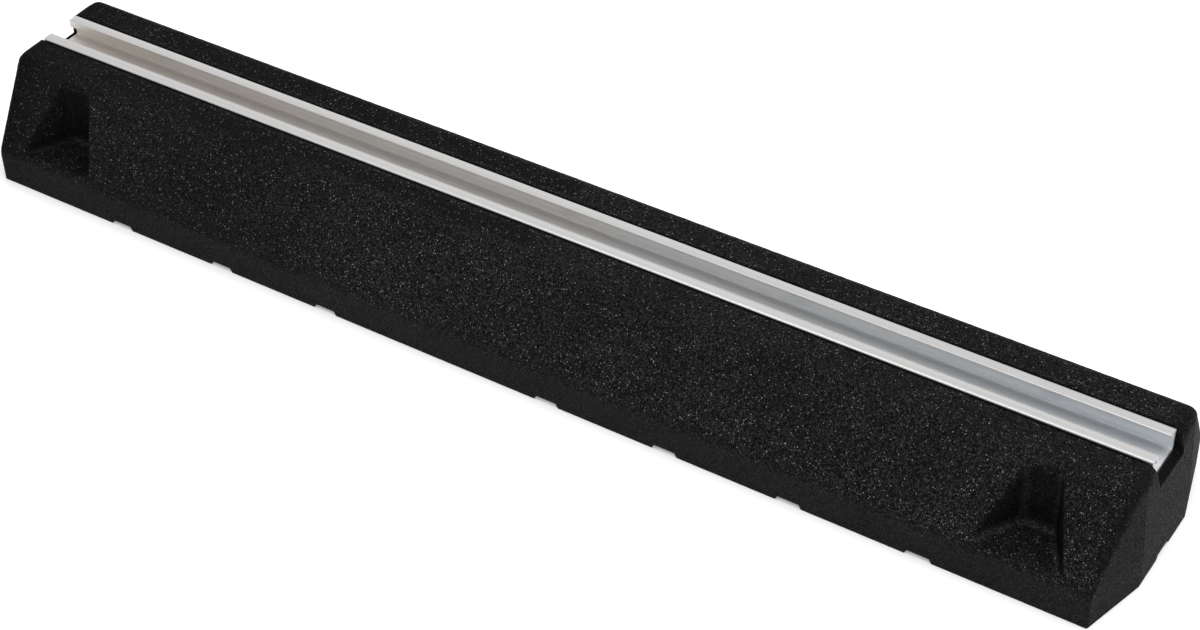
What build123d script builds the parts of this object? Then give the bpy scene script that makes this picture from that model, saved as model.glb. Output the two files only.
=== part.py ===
from build123d import *
import os
from math import atan2, cos, radians, sin, tan

# Rubber floor support with an aluminium mounting rail let into its top.
# Frame: origin at the centre of the base, +X along the support, +Y to its back, +Z up, millimetres.

# Moulded rubber block
BLOCK_LENGTH = 1000.0
BLOCK_WIDTH = 188.0
BAND_HEIGHT = 28.0  # upright band round the foot of the block
SHELF_HEIGHT = 94.0  # top of the rubber
SHELF_WIDTH = 96.0  # across the top, before its edges are rounded
END_LEAN = 4.0  # how far each end face leans in above the band
CORNER_CUT_X = 14.0  # the block's four corners are cut off at a slant in plan
CORNER_CUT_Y = 54.0
FOOT_CORNER_RADIUS = 2.0  # of the upright corners, at the foot
SHELF_CORNER_RADIUS = 9.0  # of the same corners, at the top
SHELF_EDGE_RADIUS = 8.0
WAIST_RADIUS = 10.0  # rounds the edge between band and flank
WAIST_STEPS = 3

# Pockets let into the flanks near both ends
POCKET_CENTRE_X = 428.0
POCKET_FLOOR = 32.0
POCKET_BACK_Y = 51.5  # distance of the pocket's back wall from the centre line
POCKET_BACK_WIDTH = 26.5
POCKET_FRONT_Y = 90.0
POCKET_FRONT_WIDTH = 71.0
POCKET_FLOOR_RADIUS = 4.0
POCKET_CORNER_RADIUS = 4.0
POCKET_RIM_RADIUS = 1.2
POCKET_RIM_MARGIN = 1.0  # an edge this close beside a pocket can still be its rim
FLANK_TOLERANCE = 0.05  # a point this close to a flank lies on it

# Drain channels on the underside
DRAIN_PITCH = 102.6
DRAIN_STEPS = (-3.5, -2.5, -1.5, 0.5, 1.5, 2.5, 3.5)  # the place at step -0.5 is left solid
DRAIN_MOUTH_WIDTH = 21.0
DRAIN_ROOF_WIDTH = 17.0
DRAIN_DEPTH = 3.5
DRAIN_OVERCUT = 1.0  # how far the cutting shape reaches below the base

# Aluminium C rail
RAIL_LENGTH = 980.0
RAIL_WIDTH = 40.0
RAIL_HEIGHT = 20.0
RAIL_TOP = 95.0
RAIL_WALL = 2.7
RAIL_FLOOR = 3.5
LIP_THICKNESS = 2.4
SLOT_WIDTH = 22.0
LIP_RETURN_DEPTH = 6.5
LIP_RETURN_THICKNESS = 2.2
RAIL_TOP_RADIUS = 1.6
RAIL_FOOT_RADIUS = 2.5
RAIL_INNER_RADIUS = 1.0
RAIL_EDGE_RADIUS = 0.6
GROOVE_CLEARANCE = 0.3  # each side of the rail

# Countersunk screws that hold the rail down in its groove
SCREW_COUNT = 5
SCREW_PITCH = 200.0
SCREW_LENGTH = 50.0
SCREW_HEAD_DIAMETER = 10.8
SCREW_SHANK_DIAMETER = 4.4
SCREW_THREAD_DIAMETER = 6.0
SCREW_THREAD_PITCH = 3.6
SCREW_THREAD_TURNS = 11
SCREW_THREAD_START = 6.0  # below the head's top face
SCREW_THREAD_FLANKS = (1.4, 1.8, 2.4)  # depths in one turn: crest start, crest end, root start
SCREW_POINT_LENGTH = 4.0
SCREW_SOCKET_WIDTH = 4.0  # across the flats of the hexagon
SCREW_SOCKET_DEPTH = 2.2
SCREW_HEAD_SINK = 0.2  # below the rail's floor
SCREW_HEAD_RIM = 0.4  # the upright edge of the head, above its cone
SCREW_HOLE_DIAMETER = 6.6
PILOT_CLEARANCE = 0.2
PILOT_SPARE_DEPTH = 1.0  # below the screw's point

OVERRUN = 20.0  # how far a cutting shape runs past what it cuts

# Worked out from the above
FLANK_INSET = (BLOCK_WIDTH - SHELF_WIDTH) / 2  # how far each flank leans in
RAIL_BOTTOM = RAIL_TOP - RAIL_HEIGHT
RAIL_FLOOR_TOP = RAIL_BOTTOM + RAIL_FLOOR
SCREW_TOP = RAIL_FLOOR_TOP - SCREW_HEAD_SINK
HEAD_CONE_HEIGHT = (SCREW_HEAD_DIAMETER - SCREW_SHANK_DIAMETER) / 2


def block_plan(half_length, half_width, height, corner_radius):
    """The block's plan at one height: a rectangle with its corners cut off at a slant."""
    half_end = BLOCK_WIDTH / 2 - CORNER_CUT_Y
    slant = CORNER_CUT_X / CORNER_CUT_Y
    side_x = half_length - slant * (half_width - half_end)
    quarter = [(half_length, half_end), (side_x, half_width)]
    left = [(-x, y) for x, y in reversed(quarter)]
    back = quarter + left
    front = [(x, -y) for x, y in reversed(back)]
    outline = make_face(Polyline(back + front, close=True))
    return Pos(0, 0, height) * fillet(outline.vertices(), corner_radius)


def block_level(inset, height):
    """The block's plan where its sides have come in by an inset, at a height."""
    share = inset / FLANK_INSET
    half_length = BLOCK_LENGTH / 2 - share * END_LEAN
    corner_radius = FOOT_CORNER_RADIUS + share * (SHELF_CORNER_RADIUS - FOOT_CORNER_RADIUS)
    return block_plan(half_length, BLOCK_WIDTH / 2 - inset, height, corner_radius)


def raw_block():
    """Upright band below, flanks and ends leaning in above it, edges rounded."""
    waist_angle = atan2(FLANK_INSET, SHELF_HEIGHT - BAND_HEIGHT)
    waist_start = BAND_HEIGHT - WAIST_RADIUS * tan(waist_angle / 2)
    levels = []
    for step in range(WAIST_STEPS + 1):
        angle = waist_angle * step / WAIST_STEPS
        inset = WAIST_RADIUS * (1 - cos(angle))
        levels.append(block_level(inset, waist_start + WAIST_RADIUS * sin(angle)))
    levels.append(block_level(FLANK_INSET, SHELF_HEIGHT))
    block = extrude(block_level(0, 0), waist_start) + loft(levels, ruled=True)
    return fillet(block.faces().sort_by(Axis.Z)[-1].outer_wire().edges(), SHELF_EDGE_RADIUS)


def pocket_cutter():
    """A wedge in plan, wider towards the flank, with a flat floor and rounded inner corners."""
    spread = (POCKET_FRONT_WIDTH - POCKET_BACK_WIDTH) / (POCKET_FRONT_Y - POCKET_BACK_Y)
    mouth_y = POCKET_FRONT_Y + OVERRUN
    half_back = POCKET_BACK_WIDTH / 2
    half_mouth = half_back + spread * (mouth_y - POCKET_BACK_Y) / 2
    plan = [(half_back, -POCKET_BACK_Y), (half_mouth, -mouth_y)]
    plan += [(-x, y) for x, y in reversed(plan)]
    wedge = extrude(make_face(Polyline(plan, close=True)), SHELF_HEIGHT)
    uprights = wedge.edges().filter_by(Axis.Z).group_by(Axis.Y)[-1]
    wedge = fillet(uprights, POCKET_CORNER_RADIUS)
    sole = wedge.faces().sort_by(Axis.Z)[0].edges().sort_by(Axis.Y)[1:]
    return Pos(0, 0, POCKET_FLOOR) * fillet(sole, POCKET_FLOOR_RADIUS)


def on_flank(point):
    """Whether a point lies on one of the two long sloping faces."""
    slope = FLANK_INSET / (SHELF_HEIGHT - BAND_HEIGHT)
    flank_y = BLOCK_WIDTH / 2 - slope * (point.Z - BAND_HEIGHT)
    return abs(abs(point.Y) - flank_y) < FLANK_TOLERANCE


def is_pocket_rim(edge):
    reach = POCKET_FRONT_WIDTH / 2 + POCKET_RIM_MARGIN
    beside = abs(abs(edge.center().X) - POCKET_CENTRE_X) < reach
    ends = [edge.position_at(t) for t in (0, 0.5, 1)]
    return beside and all(on_flank(point) for point in ends)


def cut_pockets(block):
    """Four pockets, one near each end of both flanks, with a softened rim."""
    cutter = pocket_cutter()
    for side_x in (-1, 1):
        for turn in (0, 180):
            block = block - Rot(0, 0, turn) * Pos(side_x * POCKET_CENTRE_X, 0, 0) * cutter
    rims = [edge for edge in block.edges() if is_pocket_rim(edge)]
    return fillet(rims, POCKET_RIM_RADIUS)


def drain_section(plane):
    """A drain channel's cross-section: a flat roof and sloping sides."""
    mouth = DRAIN_MOUTH_WIDTH / 2
    roof = DRAIN_ROOF_WIDTH / 2
    slope = (mouth - roof) / DRAIN_DEPTH
    low = mouth + slope * DRAIN_OVERCUT
    points = [(-low, -DRAIN_OVERCUT), (low, -DRAIN_OVERCUT), (roof, DRAIN_DEPTH), (-roof, DRAIN_DEPTH)]
    return plane * make_face(Polyline(points, close=True))


def cut_drains(block):
    """Cross channels at an even pitch, and one channel along the middle."""
    half_run = BLOCK_WIDTH / 2 + OVERRUN
    across = extrude(drain_section(Plane.XZ), half_run, both=True)
    for step in DRAIN_STEPS:
        block = block - Pos(step * DRAIN_PITCH, 0, 0) * across
    along = extrude(drain_section(Plane.YZ), BLOCK_LENGTH / 2 + OVERRUN, both=True)
    return block - along


def screw_places():
    first = -SCREW_PITCH * (SCREW_COUNT - 1) / 2
    return [first + SCREW_PITCH * n for n in range(SCREW_COUNT)]


def rubber_base():
    block = cut_drains(cut_pockets(raw_block()))
    groove_width = RAIL_WIDTH + 2 * GROOVE_CLEARANCE
    groove = Pos(0, 0, RAIL_BOTTOM) * Box(
        BLOCK_LENGTH + OVERRUN, groove_width, RAIL_HEIGHT + OVERRUN,
        align=(Align.CENTER, Align.CENTER, Align.MIN))
    block = block - groove
    pilot_bottom = SCREW_TOP - SCREW_LENGTH - PILOT_SPARE_DEPTH
    pilot = Pos(0, 0, pilot_bottom) * Cylinder(
        SCREW_THREAD_DIAMETER / 2 + PILOT_CLEARANCE, RAIL_BOTTOM - pilot_bottom,
        align=(Align.CENTER, Align.CENTER, Align.MIN))
    for x in screw_places():
        block = block - Pos(x, 0, 0) * pilot
    return block


def rail_profile():
    """A C section with returned lips, drawn with the middle of its foot at the origin."""
    low = (Align.CENTER, Align.MIN)
    outer = Rectangle(RAIL_WIDTH, RAIL_HEIGHT, align=low)
    rows = outer.vertices().group_by(Axis.Y)
    outer = fillet(rows[0], RAIL_FOOT_RADIUS)
    outer = fillet(outer.vertices().group_by(Axis.Y)[-1], RAIL_TOP_RADIUS)
    hollow_height = RAIL_HEIGHT - RAIL_FLOOR - LIP_THICKNESS
    hollow = Pos(0, RAIL_FLOOR) * Rectangle(RAIL_WIDTH - 2 * RAIL_WALL, hollow_height, align=low)
    hollow = fillet(hollow.vertices(), RAIL_INNER_RADIUS)
    slot = Pos(0, RAIL_HEIGHT / 2) * Rectangle(SLOT_WIDTH, RAIL_HEIGHT, align=low)
    section = outer - hollow - slot
    return_x = (SLOT_WIDTH + LIP_RETURN_THICKNESS) / 2
    lip_return = Rectangle(LIP_RETURN_THICKNESS, LIP_RETURN_DEPTH, align=(Align.CENTER, Align.MAX))
    for side in (-1, 1):
        section = section + Pos(side * return_x, RAIL_HEIGHT) * lip_return
    lip_ends = [v for v in section.vertices() if abs(abs(v.X) - return_x) < LIP_RETURN_THICKNESS]
    return fillet(lip_ends, RAIL_EDGE_RADIUS)


def mounting_rail():
    profile = Plane.YZ * rail_profile()
    rail = Pos(0, 0, RAIL_BOTTOM) * extrude(profile, RAIL_LENGTH / 2, both=True)
    seat_radius = SCREW_HEAD_DIAMETER / 2 + SCREW_HEAD_SINK + SCREW_HEAD_RIM
    hole_radius = SCREW_HOLE_DIAMETER / 2
    seat_height = seat_radius - hole_radius
    hole = Pos(0, 0, RAIL_BOTTOM + RAIL_FLOOR / 2) * Cylinder(hole_radius, RAIL_FLOOR * 2)
    seat = Pos(0, 0, RAIL_FLOOR_TOP) * Cone(
        hole_radius, seat_radius, seat_height, align=(Align.CENTER, Align.CENTER, Align.MAX))
    for x in screw_places():
        rail = rail - Pos(x, 0, 0) * (hole + seat)
    return rail


def rail_screw():
    """A coarse countersunk screw, its head's top face at the origin, pointing down."""
    head = SCREW_HEAD_DIAMETER / 2
    shank = SCREW_SHANK_DIAMETER / 2
    crest = SCREW_THREAD_DIAMETER / 2
    cone_end = -SCREW_HEAD_RIM - HEAD_CONE_HEIGHT
    outline = [(0, 0), (head, 0), (head, -SCREW_HEAD_RIM), (shank, cone_end)]
    for turn in range(SCREW_THREAD_TURNS):
        z = -SCREW_THREAD_START - turn * SCREW_THREAD_PITCH
        crest_start, crest_end, root_start = (z - drop for drop in SCREW_THREAD_FLANKS)
        outline += [(shank, z), (crest, crest_start), (crest, crest_end), (shank, root_start)]
    outline += [(shank, SCREW_POINT_LENGTH - SCREW_LENGTH), (0, -SCREW_LENGTH)]
    body = revolve(Plane.XZ * make_face(Polyline(outline, close=True)), Axis.Z)
    socket_radius = SCREW_SOCKET_WIDTH / 2 / cos(radians(30))
    socket = extrude(RegularPolygon(socket_radius, 6), -SCREW_SOCKET_DEPTH)
    return body - socket


def rail_screws():
    screw = rail_screw()
    return Compound(children=[Pos(x, 0, SCREW_TOP) * screw.solid() for x in screw_places()])


def main():
    os.makedirs("parts", exist_ok=True)
    nodes = {
        "rubber_base": rubber_base(),
        "mounting_rail": mounting_rail(),
        "rail_screws": rail_screws(),
    }
    for name, shape in nodes.items():
        export_step(shape, f"parts/{name}.step")


main()
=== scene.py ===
"""A rubber floor support with an aluminium mounting rail: surfaces, lights and camera."""

from math import atan2, cos, pi, radians, sin

import bmesh
import bpy
import numpy as np
from mathutils import Matrix, Vector


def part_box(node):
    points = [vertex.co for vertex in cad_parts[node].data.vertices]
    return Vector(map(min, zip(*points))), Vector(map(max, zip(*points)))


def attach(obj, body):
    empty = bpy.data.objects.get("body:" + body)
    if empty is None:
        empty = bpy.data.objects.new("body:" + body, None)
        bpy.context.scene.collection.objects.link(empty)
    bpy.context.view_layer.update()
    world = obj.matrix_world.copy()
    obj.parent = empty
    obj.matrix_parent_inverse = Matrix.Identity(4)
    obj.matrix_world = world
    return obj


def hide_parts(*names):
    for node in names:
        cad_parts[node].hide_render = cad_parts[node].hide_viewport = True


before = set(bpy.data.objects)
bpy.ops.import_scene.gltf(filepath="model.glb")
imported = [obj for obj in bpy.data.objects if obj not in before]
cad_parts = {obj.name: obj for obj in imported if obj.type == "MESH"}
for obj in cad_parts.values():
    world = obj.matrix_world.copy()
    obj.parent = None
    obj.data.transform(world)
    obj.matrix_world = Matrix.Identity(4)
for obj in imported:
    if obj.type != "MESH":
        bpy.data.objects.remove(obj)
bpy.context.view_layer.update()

# --- sizes, in metres -------------------------------------------------------------------------

BAND_TOP = 0.028            # height of the smoother band round the foot of the block
SHELF_HALF_WIDTH = 0.048    # the flat top reaches this far from the middle
CELL = 0.00135              # the block is rebuilt from faces about this wide and CELL_STRETCH times as long
CELL_STRETCH = 2.0
REMESH_DEPTH = 9            # the rebuilding grid has 2 ** depth cells along its longest side
WELD = 1e-6                 # vertices closer than this are one
GRANULE = 0.0034            # across the coarse granules that show as relief
GRANULE_RELIEF = 0.00034    # how far the deepest granule lies under the moulded face
GRANULE_SEED = 7
GRAIN = 0.0009              # across the fine grains that show as specks
GRAIN_RELIEF = 0.0008       # the height that the grains' bump stands for
JOINT_WIDTH = 0.0030        # the rubber's edge along the rail is rounded off over this width
JOINT_DEPTH = 0.0008
GAP_SHADE = 0.0016          # the rubber's painted joint shade is blackest this close to the rail
BRIM = 0.0005               # rubber within this distance of the top counts as the groove's brim
WORN_CORNER = 0.004         # both upper corners of the groove at the +X end are worn back this far
POCKET_MIDDLE = 0.428       # from the middle of the block, along X
POCKET_DEPTH = 0.006        # this far under the flank, a pocket's wall has its full painted shade
CREST_REACH = 0.012         # the rounded edges of the top lie within this distance of it
HOLLOW_BEND = 70.0          # per metre: how sharply the floor fillet of a pocket bends inwards
CREST_BEND = 45.0           # per metre: how sharply the edge of the top bends outwards

END_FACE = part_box("rubber_base")[1].x
RAIL_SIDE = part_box("mounting_rail")[1].y
RAIL_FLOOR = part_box("mounting_rail")[0].z
RAIL_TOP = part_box("mounting_rail")[1].z
RAIL_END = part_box("mounting_rail")[1].x

# Zones on the rail: a tone starts to change at the first distance and has changed by the second.
LIP_TO_CHANNEL = (0.0006, 0.0014)       # down from the rail's top
CUT_TO_CHANNEL = (0.0002, 0.0006)       # in from the rail's end
OUTER_STRIP = (0.0009, 0.0018)          # in from the rail's side, on top of each lip: the painted highlight strip
SIDE_SKIN = (0.0002, 0.0006)            # in from the rail's side
JOINT_START = (0.0010, 0.0016)          # down from the rail's top, where the painted shade on the rail's side begins
JOINT_STOP = (0.0040, 0.0060)           # in from the rail's end, where that painted shade stops
FLOOR_SKIN = (0.0036, 0.0041)           # up from the rail's underside, where the channel floor's painted lighter tone ends

# --- tones ------------------------------------------------------------------------------------

OPEN_TONES = (0.0003, 0.053)        # darkest and lightest grain where the rubber is open
OPEN_POWER = 2.8                    # above 1, most open grains are dark and few are light
CLOSED_TONES = (0.0035, 0.0155)     # the same where the mould left it closed
PATCH = 0.05                        # metres across the patches that are a little lighter or darker
PATCH_TONES = (0.84, 1.16)
GRAIN_EDGE = 0.4                    # a grain's edge is this much of its middle's tone
SPECK_SHARE = (0.95, 1.0)           # draws from this range give pale specks, which are partly painted glints
SPECK_TONE = 0.5                    # of a speck's middle
RUBBER_ROUGHNESS = (0.5, 0.9)
RUBBER_GLOSS = 0.10                 # the shader's specular level

LIP_TONES = (0.74, 0.86)
LIP_WARMTH = (0.012, 0.010)
HIGHLIGHT_TONE = 0.99                   # of the painted highlight along a lip's outer edge
# The channel's grey runs from its walls to its floor, which is painted lighter.
CHANNEL_TONES = (0.60, 0.94)
CHANNEL_REFLECTED_TINT = (0.05, -0.03)      # painted reflection tint, at the -X end and at the +X end
JOINT_SHADE_TONE = 0.02                   # painted shade on the rail's side, where it faces the rubber
LIP_ROUGHNESS = (0.36, 0.46)
CHANNEL_ROUGHNESS = 0.52

FLOOR_GLOW = 0.25                   # lifts the shadow round the block to near white
WORLD_LIGHT = 0.40

# --- camera -----------------------------------------------------------------------------------

CAMERA_AZIMUTH = 33.594     # degrees from -Y towards +X
CAMERA_ELEVATION = 40.159
CAMERA_ROLL = -1.611
CAMERA_DISTANCE = 1.9942    # from the origin, along the line of sight
CAMERA_ASIDE = 0.0328
CAMERA_RAISED = -0.0034
CAMERA_LENS = 77.39         # mm on a sensor SENSOR_WIDTH wide
SENSOR_WIDTH = 36


# --- node helpers -----------------------------------------------------------------------------

def new_material(name):
    """An empty node material and its Principled shader."""
    material = bpy.data.materials.new(name)
    material.use_nodes = True
    tree = material.node_tree
    tree.nodes.clear()
    output = tree.nodes.new("ShaderNodeOutputMaterial")
    shader = tree.nodes.new("ShaderNodeBsdfPrincipled")
    tree.links.new(shader.outputs["BSDF"], output.inputs["Surface"])
    return material, tree, shader


def plug(tree, socket, value):
    """Links an output to the socket, or sets the socket to a constant."""
    if isinstance(value, bpy.types.NodeSocket):
        tree.links.new(value, socket)
    else:
        socket.default_value = value


def place_coordinates(tree, stretch=(1, 1, 1), turn=(0, 0, 0)):
    """Positions in the part's own frame, scaled along each axis and turned."""
    source = tree.nodes.new("ShaderNodeTexCoord")
    mapping = tree.nodes.new("ShaderNodeMapping")
    mapping.inputs["Scale"].default_value = stretch
    mapping.inputs["Rotation"].default_value = turn
    tree.links.new(source.outputs["Object"], mapping.inputs["Vector"])
    return mapping.outputs["Vector"]


def axis_values(tree):
    """The part's own X, Y and Z as three outputs."""
    axes = tree.nodes.new("ShaderNodeSeparateXYZ")
    tree.links.new(place_coordinates(tree), axes.inputs["Vector"])
    return axes.outputs["X"], axes.outputs["Y"], axes.outputs["Z"]


def random_per_cell(tree, texture):
    """Three random numbers for each Voronoi cell, apart from those that place it."""
    scatter = tree.nodes.new("ShaderNodeTexWhiteNoise")
    tree.links.new(texture.outputs["Position"], scatter.inputs["Vector"])
    split = tree.nodes.new("ShaderNodeSeparateColor")
    tree.links.new(scatter.outputs["Color"], split.inputs["Color"])
    return split.outputs["Red"], split.outputs["Green"], split.outputs["Blue"]


def mesh_value(tree, name):
    """A number stored on the mesh's vertices."""
    node = tree.nodes.new("ShaderNodeAttribute")
    node.attribute_name = name
    return node.outputs["Fac"]


def cells(tree, where, size):
    """Voronoi cells of about the given size."""
    texture = tree.nodes.new("ShaderNodeTexVoronoi")
    plug(tree, texture.inputs["Vector"], where)
    texture.inputs["Scale"].default_value = 1 / size
    return texture


def noise(tree, where, size, detail=2.0, roughness=0.5):
    """Smooth noise with features of about the given size."""
    texture = tree.nodes.new("ShaderNodeTexNoise")
    plug(tree, texture.inputs["Vector"], where)
    texture.inputs["Scale"].default_value = 1 / size
    texture.inputs["Detail"].default_value = detail
    texture.inputs["Roughness"].default_value = roughness
    return texture.outputs["Fac"]


def spread(tree, value, low, high, to_low=0.0, to_high=1.0):
    """Maps low..high to to_low..to_high, clamped."""
    node = tree.nodes.new("ShaderNodeMapRange")
    plug(tree, node.inputs["Value"], value)
    for name, number in (("From Min", low), ("From Max", high), ("To Min", to_low), ("To Max", to_high)):
        node.inputs[name].default_value = number
    return node.outputs["Result"]


def near_edge(tree, value, edge, zone):
    """1 where the value is just under the edge, 0 beyond the zone of two distances from it."""
    return spread(tree, value, edge - zone[1], edge - zone[0])


def far_from_edge(tree, value, edge, zone):
    """The opposite of near_edge."""
    return spread(tree, value, edge - zone[1], edge - zone[0], 1.0, 0.0)


def maths(tree, operation, first, second=0.0):
    node = tree.nodes.new("ShaderNodeMath")
    node.operation = operation
    plug(tree, node.inputs[0], first)
    plug(tree, node.inputs[1], second)
    return node.outputs["Value"]


def product(tree, first, *others):
    for other in others:
        first = maths(tree, "MULTIPLY", first, other)
    return first


def blend(tree, data_type, share, first, second):
    node = tree.nodes.new("ShaderNodeMix")
    node.data_type = data_type
    plug(tree, node.inputs["Factor"], share)
    plug(tree, node.inputs["A"], first)
    plug(tree, node.inputs["B"], second)
    return node.outputs["Result"]


def blend_numbers(tree, share, first, second):
    return blend(tree, "FLOAT", share, first, second)


def blend_colours(tree, share, first, second):
    return blend(tree, "RGBA", share, first, second)


def bump(tree, height, distance, strength):
    node = tree.nodes.new("ShaderNodeBump")
    plug(tree, node.inputs["Height"], height)
    node.inputs["Distance"].default_value = distance
    node.inputs["Strength"].default_value = strength
    return node.outputs["Normal"]


# --- materials --------------------------------------------------------------------------------

def grey(value, warmth=0.0):
    return (value * (1 + warmth), value, value * (1 - warmth), 1.0)


def rubber_granulate():
    """Black bonded granulate: grains of slightly different black, some of them pale specks that partly stand
    for painted glints.
    """
    material, tree, shader = new_material("rubber_granulate")
    turned = place_coordinates(tree, turn=(0.6, 0.4, 1.1))
    grains = cells(tree, turned, GRAIN)
    tone_draw, roughness_draw, speck_draw = random_per_cell(tree, grains)
    reach = grains.outputs["Distance"]
    closed = mesh_value(tree, "closed")

    patches = spread(tree, noise(tree, turned, PATCH, detail=4), 0.35, 0.65, *PATCH_TONES)
    open_tone = spread(tree, maths(tree, "POWER", tone_draw, OPEN_POWER), 0, 1, *OPEN_TONES)
    closed_tone = spread(tree, tone_draw, 0, 1, *CLOSED_TONES)
    tone = blend_numbers(tree, closed, open_tone, closed_tone)
    dark_edge = spread(tree, reach, 0.35, 0.75, 1.0, GRAIN_EDGE)
    # The tone carries the painted light and shade stored on the mesh.
    black = product(tree, tone, patches, mesh_value(tree, "tone_with_painted_light_and_shade"), dark_edge)

    # Pale specks: partly pale grains, partly painted glints; fewer where painted shade falls.
    chosen = spread(tree, speck_draw, *SPECK_SHARE)
    core = spread(tree, reach, 0.2, 0.55, 1.0, 0.0)
    open_grain = maths(tree, "SUBTRACT", 1.0, closed)
    speck = product(tree, chosen, core, open_grain, mesh_value(tree, "speck_glint_share"))
    shade = blend_numbers(tree, speck, black, SPECK_TONE)
    plug(tree, shader.inputs["Base Color"], blend_colours(tree, shade, grey(0.0), grey(1.0, 0.01)))

    # Painted shade: the joint beside the rail is made black, and metallic so that it doesn't mirror the
    # lights.
    plug(tree, shader.inputs["Metallic"], mesh_value(tree, "painted_joint_shade"))
    shader.inputs["Specular IOR Level"].default_value = RUBBER_GLOSS
    plug(tree, shader.inputs["Roughness"], spread(tree, roughness_draw, 0, 1, *RUBBER_ROUGHNESS))
    relief = bump(tree, spread(tree, reach, 0, 0.7, 1.0, 0.0), GRAIN_RELIEF, 0.9)
    plug(tree, shader.inputs["Normal"], relief)
    return material


def extruded_aluminium():
    """Satin aluminium with the fine lengthwise lines that the die leaves, duller inside the channel."""
    material, tree, shader = new_material("extruded_aluminium")
    lengthwise = place_coordinates(tree, (0.002, 1, 1))
    lines = noise(tree, lengthwise, 0.0005, detail=3, roughness=0.7)
    bands = noise(tree, lengthwise, 0.003, detail=2)
    streaks = spread(tree, maths(tree, "ADD", lines, bands), 0.75, 1.25)
    from_middle, aside, height = axis_values(tree)
    along = maths(tree, "ABSOLUTE", from_middle)
    across = maths(tree, "ABSOLUTE", aside)
    drift = spread(tree, from_middle, -RAIL_END, RAIL_END)     # 0 at the -X end, 1 at the +X end

    # The lips, with a painted highlight strip along each outer edge that fades towards the +X end, where all
    # of the lip turns darker.
    lip_colour = blend_colours(tree, streaks, *(grey(*pair) for pair in zip(LIP_TONES, LIP_WARMTH)))
    highlight_strip = near_edge(tree, across, RAIL_SIDE, OUTER_STRIP)
    painted_highlight = product(tree, highlight_strip, spread(tree, drift, 0.6, 0.9, 1.0, 0.0))
    lip_colour = blend_colours(tree, painted_highlight, lip_colour, grey(HIGHLIGHT_TONE))
    darker_end = spread(tree, drift, 0.6, 1.0, 0.0, 0.12)
    darker_strip = product(tree, highlight_strip, spread(tree, drift, 0.7, 1.0, 0.0, 0.20))
    lip_colour = blend_colours(tree, maths(tree, "ADD", darker_end, darker_strip), lip_colour, grey(0.0))

    # Painted reflection: the channel's tint drifts from warm to cool. Painted light: its floor is lighter
    # than its walls.
    darker, lighter = (
        blend_colours(tree, drift, *(grey(tone, warmth) for warmth in CHANNEL_REFLECTED_TINT))
        for tone in CHANNEL_TONES
    )
    on_floor = spread(tree, height, *(RAIL_FLOOR + up for up in FLOOR_SKIN), 1.0, 0.0)
    streaks_and_floor_light = maths(tree, "ADD", product(tree, on_floor, 0.55), product(tree, streaks, 0.45))
    channel_colour = blend_colours(tree, streaks_and_floor_light, darker, lighter)
    below_lips = far_from_edge(tree, height, RAIL_TOP, LIP_TO_CHANNEL)
    short_of_end = far_from_edge(tree, along, RAIL_END, CUT_TO_CHANNEL)
    inside = product(tree, below_lips, short_of_end)
    clean = blend_colours(tree, inside, lip_colour, channel_colour)

    # Painted shade: the outer side, which faces the rubber across the joint, is made nearly black.
    on_side = near_edge(tree, across, RAIL_SIDE, SIDE_SKIN)
    down_the_side = far_from_edge(tree, height, RAIL_TOP, JOINT_START)
    along_the_joint = far_from_edge(tree, along, RAIL_END, JOINT_STOP)
    painted_joint_shade = product(tree, on_side, down_the_side, along_the_joint)
    plug(tree, shader.inputs["Base Color"], blend_colours(tree, painted_joint_shade, clean, grey(JOINT_SHADE_TONE)))

    shader.inputs["Metallic"].default_value = 1.0
    lip_roughness = spread(tree, lines, 0.3, 0.7, *LIP_ROUGHNESS)
    plug(tree, shader.inputs["Roughness"], blend_numbers(tree, inside, lip_roughness, CHANNEL_ROUGHNESS))
    plug(tree, shader.inputs["Normal"], bump(tree, lines, 0.00005, 0.4))
    return material


def zinc_plated_steel():
    """Bright zinc with faint mottling."""
    material, tree, shader = new_material("zinc_plated_steel")
    where = place_coordinates(tree)
    mottle = noise(tree, where, 0.0015, detail=3)
    colour = blend_colours(tree, spread(tree, mottle, 0.3, 0.7), (0.55, 0.57, 0.60, 1), (0.72, 0.73, 0.74, 1))
    plug(tree, shader.inputs["Base Color"], colour)
    shader.inputs["Metallic"].default_value = 1.0
    plug(tree, shader.inputs["Roughness"], spread(tree, mottle, 0.3, 0.7, 0.22, 0.38))
    return material


def dress(piece, material):
    piece.data.materials.clear()
    piece.data.materials.append(material)


# --- the block's granular surface -------------------------------------------------------------

def welded_copy(node):
    """A copy of a CAD node's mesh with its split vertices joined."""
    mesh = node.data.copy()
    work = bmesh.new()
    work.from_mesh(mesh)
    bmesh.ops.remove_doubles(work, verts=work.verts, dist=WELD)
    work.to_mesh(mesh)
    work.free()
    return mesh


def rebuilt_in_cells(mesh):
    """The same shape made of small even faces, with its edges kept sharp."""
    squeeze = Matrix.Diagonal((1 / CELL_STRETCH, 1, 1, 1))
    mesh.transform(squeeze)
    holder = bpy.data.objects.new("block_holder", mesh)
    bpy.context.scene.collection.objects.link(holder)
    remesh = holder.modifiers.new("cells", "REMESH")
    remesh.mode = "SHARP"
    remesh.octree_depth = REMESH_DEPTH
    remesh.scale = 2 * END_FACE / CELL_STRETCH / CELL / 2 ** REMESH_DEPTH
    graph = bpy.context.evaluated_depsgraph_get()
    rebuilt = bpy.data.meshes.new_from_object(holder.evaluated_get(graph))
    bpy.data.objects.remove(holder)
    rebuilt.transform(squeeze.inverted())
    return rebuilt


def vertex_values(mesh, name):
    """Places or normals of all vertices, one row each."""
    values = np.empty(len(mesh.vertices) * 3)
    mesh.vertices.foreach_get(name, values)
    return values.reshape(-1, 3)


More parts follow.
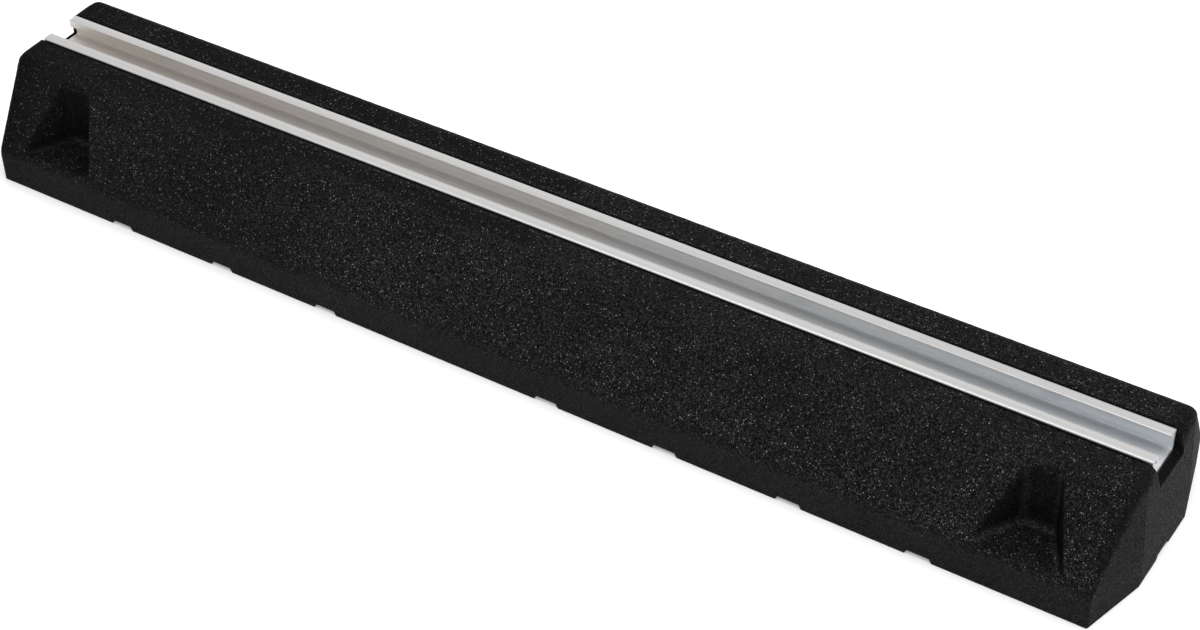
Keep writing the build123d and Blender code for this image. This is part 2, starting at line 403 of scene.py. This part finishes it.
def inward_bend(mesh, places, normals):
    """How sharply the surface bends inwards at each vertex, per metre, evened out over its neighbours."""
    ends = np.empty(len(mesh.edges) * 2, np.int64)
    mesh.edges.foreach_get("vertices", ends)
    first, second = ends.reshape(-1, 2).T
    step = places[second] - places[first]
    length_squared = np.maximum((step ** 2).sum(1), WELD ** 2)
    bend = -((normals[second] - normals[first]) * step).sum(1) / length_squared
    edges_met = np.bincount(first, minlength=len(places)) + np.bincount(second, minlength=len(places))

    def gathered(at_first, at_second):
        total = np.bincount(first, at_first, len(places)) + np.bincount(second, at_second, len(places))
        return total / edges_met

    result = gathered(bend, bend)
    for _ in range(2):
        result = 0.5 * result + 0.5 * gathered(result[second], result[first])
    return result


def store(mesh, name, values):
    """Keeps one number per vertex for the material to read."""
    mesh.attributes.new(name, "FLOAT", "POINT").data.foreach_set("value", values.astype(np.float32))


def granule_noise(points, size, seed):
    """For each point: a random number of the granule it is on, and its distance to that granule's middle."""
    rng = np.random.default_rng(seed)
    table = rng.random((4, 1 << 16))
    base = np.floor(points / size).astype(np.int64)
    nearest = np.full(len(points), np.inf)
    tone = np.zeros(len(points))
    for step in np.ndindex(3, 3, 3):
        cell = base + np.array(step) - 1
        # Three large primes scatter the cells over the table.
        key = (cell[:, 0] * 73856093 ^ cell[:, 1] * 19349663 ^ cell[:, 2] * 83492791) & 0xFFFF
        middle = (cell + table[:3, key].T) * size
        distance = np.linalg.norm(points - middle, axis=1)
        closer = distance < nearest
        nearest = np.where(closer, distance, nearest)
        tone = np.where(closer, table[3, key], tone)
    return tone, nearest / size


def ramp(values, start, end):
    """0 before start, 1 after end, straight between."""
    return np.clip((values - start) / (end - start), 0, 1)


def depth_under_flank(across, height):
    """How far a point lies inside the plane of the nearer flank, which joins the band to the top's edge."""
    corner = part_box("rubber_base")[1]
    lean = atan2(corner.y - SHELF_HALF_WIDTH, corner.z - BAND_TOP)
    return (corner.y - across) * cos(lean) - (height - BAND_TOP) * sin(lean)


def pocket_shading(places, normals, hollow):
    """Painted shade and highlight in the pockets, as a factor on the rubber's tone, and how much of each
    vertex is on a pocket's wall.
    """
    from_middle, across, height = places[:, 0], np.abs(places[:, 1]), places[:, 2]
    sunk = ramp(depth_under_flank(across, height), 0.001, POCKET_DEPTH)
    on_flank = (height > BAND_TOP) * (across > RAIL_SIDE + 0.005)
    in_pocket = sunk * (np.abs(from_middle) < END_FACE - 0.03) * on_flank
    wall = in_pocket * ramp(normals[:, 2], 0.8, 0.4)
    faces_right = ramp(normals[:, 0], 0.2, 0.6)
    faces_left = ramp(-normals[:, 0], 0.2, 0.6)

    # Painted light: in the -X pockets, the wall that faces the +X end is left as light as the flank, as if
    # lit from there.
    lit_wall = (from_middle < 0) * faces_right
    wall = wall * (1 - 0.8 * lit_wall)
    # Painted shade: pocket walls and floors are darker, walls that face -X darkest.
    tone = (1 - 0.45 * wall) * (1 - 0.25 * in_pocket)
    tone *= 1 - 0.6 * wall * faces_left

    # The fillet between floor and back wall is a smooth pale line; the paleness is a painted highlight.
    tone *= 1 + 2.5 * hollow * (1 - lit_wall) * (1 - faces_left)

    # Painted shadow: the half of a -X pocket that lies nearer to the middle of the block is darker.
    inner_half = ramp(from_middle + POCKET_MIDDLE, 0.008, 0.016) * (from_middle < 0)
    tone *= 1 - 0.6 * in_pocket * inner_half
    return tone, wall


def press_granules(mesh):
    """Sinks each vertex a little, by how deep its granule lies. Nothing leaves the moulded outline."""
    mesh.update()
    places = vertex_values(mesh, "co")
    normals = vertex_values(mesh, "normal")
    along, across, height = np.abs(places[:, 0]), np.abs(places[:, 1]), places[:, 2]
    low, high = (np.array(corner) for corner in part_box("rubber_base"))
    top = high[2]

    # The foot band, the ends and the rounded edges left the mould smoother than the flanks and the top.
    bend = inward_bend(mesh, places, normals)
    hollow = ramp(bend, 0.3 * HOLLOW_BEND, HOLLOW_BEND) * (height > BAND_TOP)
    outside_groove = (height > top - CREST_REACH) * (across > RAIL_SIDE + 0.01)
    crest = ramp(-bend, 0.4 * CREST_BEND, CREST_BEND) * outside_groove
    band = 1 - ramp(height, BAND_TOP - 0.006, BAND_TOP + 0.008)
    ends = ramp(along, END_FACE - 0.020, END_FACE - 0.008)
    closed = np.max([band, ends, 0.8 * hollow, 0.5 * crest], axis=0)

    in_groove = (height > RAIL_FLOOR - 0.002) & (across < RAIL_SIDE + JOINT_WIDTH)
    # Painted shade in the joint beside the rail: the rubber there is made black, fading out over its rounded
    # edge.
    painted_joint_shade = 1 - ramp(across, RAIL_SIDE + GAP_SHADE, RAIL_SIDE + JOINT_WIDTH)
    painted_joint_shade = np.where(in_groove & (along < RAIL_END), painted_joint_shade, 0.0)
    pocket_painted_light_and_shade, wall = pocket_shading(places, normals, hollow)
    # Painted light and shade on the rubber's tone: a painted falloff of light towards the -X end, painted
    # shade on the end faces, and the pockets' and the joint's painted shade; the rounded edges of the top are
    # also made lighter.
    left = -places[:, 0]
    painted_left_falloff = 0.15 * ramp(left, 0.10, 0.30) + 0.30 * ramp(left, 0.43, 0.485)
    tone_with_painted_light_and_shade = pocket_painted_light_and_shade * (1 + 0.25 * crest) * (1 - 2 * painted_left_falloff) * (1 - 0.55 * ends) * (1 - painted_joint_shade)

    store(mesh, "closed", 0.85 * closed)
    store(mesh, "tone_with_painted_light_and_shade", tone_with_painted_light_and_shade)
    # Painted shade: fewer specks and glints on the pocket walls, towards the -X end and in the joint.
    store(mesh, "speck_glint_share", (1 - wall) * (1 - painted_left_falloff) * (1 - painted_joint_shade))
    store(mesh, "painted_joint_shade", painted_joint_shade)

    tone, radius = granule_noise(places, GRANULE, GRANULE_SEED)
    depth = GRANULE_RELIEF * (0.6 * tone + 0.4 * np.clip(radius, 0, 1) ** 2)
    depth *= np.where(in_groove, 0.0, 1 - 0.6 * closed)
    places = places - normals * depth[:, None]

    # The groove's upper corners at the +X end are worn back, and its edges along the rail are rounded off.
    worn = ramp(along, RAIL_END - 0.003, RAIL_END + 0.001) * ramp(height, RAIL_FLOOR + 0.005, top)
    worn *= 1 - ramp(across, RAIL_SIDE + 0.001, RAIL_SIDE + 2.5 * WORN_CORNER)
    places[:, 0] -= np.where(places[:, 0] > 0, worn * WORN_CORNER, 0.0)
    near_rail = 1 - ramp(across, RAIL_SIDE, RAIL_SIDE + JOINT_WIDTH)
    places[:, 2] -= np.where(height > top - BRIM, near_rail * JOINT_DEPTH, 0.0)
    mesh.vertices.foreach_set("co", np.clip(places, low, high).ravel())
    mesh.update()


def granulate_block():
    """The block as moulded granulate, in place of its plain CAD solid."""
    mesh = rebuilt_in_cells(welded_copy(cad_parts["rubber_base"]))
    mesh.name = "granulate_block"
    press_granules(mesh)
    mesh.shade_smooth()
    block = bpy.data.objects.new("granulate_block", mesh)
    bpy.context.scene.collection.objects.link(block)
    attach(block, "root")
    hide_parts("rubber_base")
    return block


# --- floor, lights and camera -----------------------------------------------------------------

def pale_floor():
    bpy.ops.mesh.primitive_plane_add(size=30, location=(0, 0, -0.0005))
    floor = bpy.context.object
    floor.name = "studio_floor"
    material, tree, shader = new_material("pale_floor")
    shade = spread(tree, noise(tree, place_coordinates(tree), 0.6), 0.3, 0.7, 0.93, 0.96)
    plug(tree, shader.inputs["Base Color"], blend_colours(tree, shade, grey(0.0), grey(1.0)))
    shader.inputs["Roughness"].default_value = 0.8
    shader.inputs["Emission Color"].default_value = grey(1.0)
    shader.inputs["Emission Strength"].default_value = FLOOR_GLOW
    dress(floor, material)


def softbox(name, towards, distance, size, radiance, colour=(1, 1, 1)):
    """An area light that faces the part from the given direction."""
    light = bpy.data.lights.new(name, "AREA")
    light.shape = "RECTANGLE"
    light.size, light.size_y = size
    light.energy = radiance * pi * size[0] * size[1]
    light.color = colour
    lamp = bpy.data.objects.new(name, light)
    bpy.context.scene.collection.objects.link(lamp)
    direction = Vector(towards).normalized()
    lamp.location = direction * distance
    lamp.rotation_euler = direction.to_track_quat("Z", "Y").to_euler()


def studio():
    world = bpy.data.worlds.new("studio")
    world.use_nodes = True
    background = world.node_tree.nodes["Background"]
    background.inputs["Color"].default_value = (1, 1, 1, 1)
    background.inputs["Strength"].default_value = WORLD_LIGHT
    bpy.context.scene.world = world
    softbox("overhead", (0.25, -0.10, 1.0), 4.0, (6.6, 4.4), 1.95)
    softbox("right_side", (1.0, -0.1, 0.30), 2.2, (1.2, 1.0), 0.8, (0.93, 0.97, 1.0))
    softbox("back", (-0.45, 1.0, 0.55), 3.0, (4.0, 2.2), 0.40)


def camera():
    azimuth, elevation, roll = (radians(a) for a in (CAMERA_AZIMUTH, CAMERA_ELEVATION, CAMERA_ROLL))
    back = Vector((sin(azimuth) * cos(elevation), -cos(azimuth) * cos(elevation), sin(elevation)))
    level = Vector((cos(azimuth), sin(azimuth), 0))
    upright = back.cross(level)
    right = level * cos(roll) + upright * sin(roll)
    up = upright * cos(roll) - level * sin(roll)
    lens = bpy.data.cameras.new("camera")
    lens.lens = CAMERA_LENS
    lens.sensor_width = SENSOR_WIDTH
    lens.clip_end = 100
    holder = bpy.data.objects.new("camera", lens)
    bpy.context.scene.collection.objects.link(holder)
    place = back * CAMERA_DISTANCE + right * CAMERA_ASIDE + up * CAMERA_RAISED
    turn = Matrix((right, up, back)).transposed().to_4x4()
    holder.matrix_world = Matrix.Translation(place) @ turn
    bpy.context.scene.camera = holder


granulate = rubber_granulate()
dress(granulate_block(), granulate)
dress(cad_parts["mounting_rail"], extruded_aluminium())
dress(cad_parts["rail_screws"], zinc_plated_steel())
pale_floor()
studio()
camera()
bpy.context.scene.view_settings.view_transform = "Standard"
